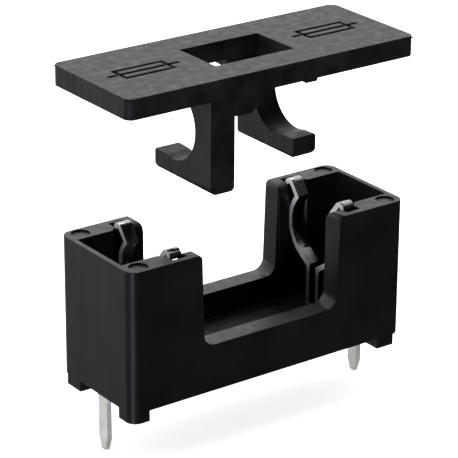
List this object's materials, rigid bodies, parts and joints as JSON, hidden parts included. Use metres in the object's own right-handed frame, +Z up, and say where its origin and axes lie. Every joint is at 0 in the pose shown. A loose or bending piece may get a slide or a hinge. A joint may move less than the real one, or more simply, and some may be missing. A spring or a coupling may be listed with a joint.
{
  "type": "cartridge fuse holder",
  "caption": "Board-mounted cartridge fuse holder: open black housing with sprung clips and solder pins, and a lift-off cover with hooks that carry the fuse.",
  "frame": {"origin": "centre of the board surface under the feet, midway between the two solder pins", "axes": "+Z up, away from the board; +X along the fuse; +Y towards the back"},
  "size_m": [0.0244, 0.0094, 0.0277],
  "materials": {
    "housing_plastic": "satin moulded black thermoplastic",
    "cover_plastic": "satin moulded black thermoplastic with a fine grain on top",
    "tinned_strip": "tin-plated spring strip, satin"
  },
  "bodies": {
    "base": {"housing": "housing_plastic", "clip_left": "tinned_strip", "clip_right": "tinned_strip"},
    "cover": {"cover": "cover_plastic"}
  },
  "joints": [
    {"name": "cover_lift", "type": "slide", "parent": "base", "child": "cover", "axis": [0, 0, 1], "range_m": [-0.011, 0.004]}
  ]
}
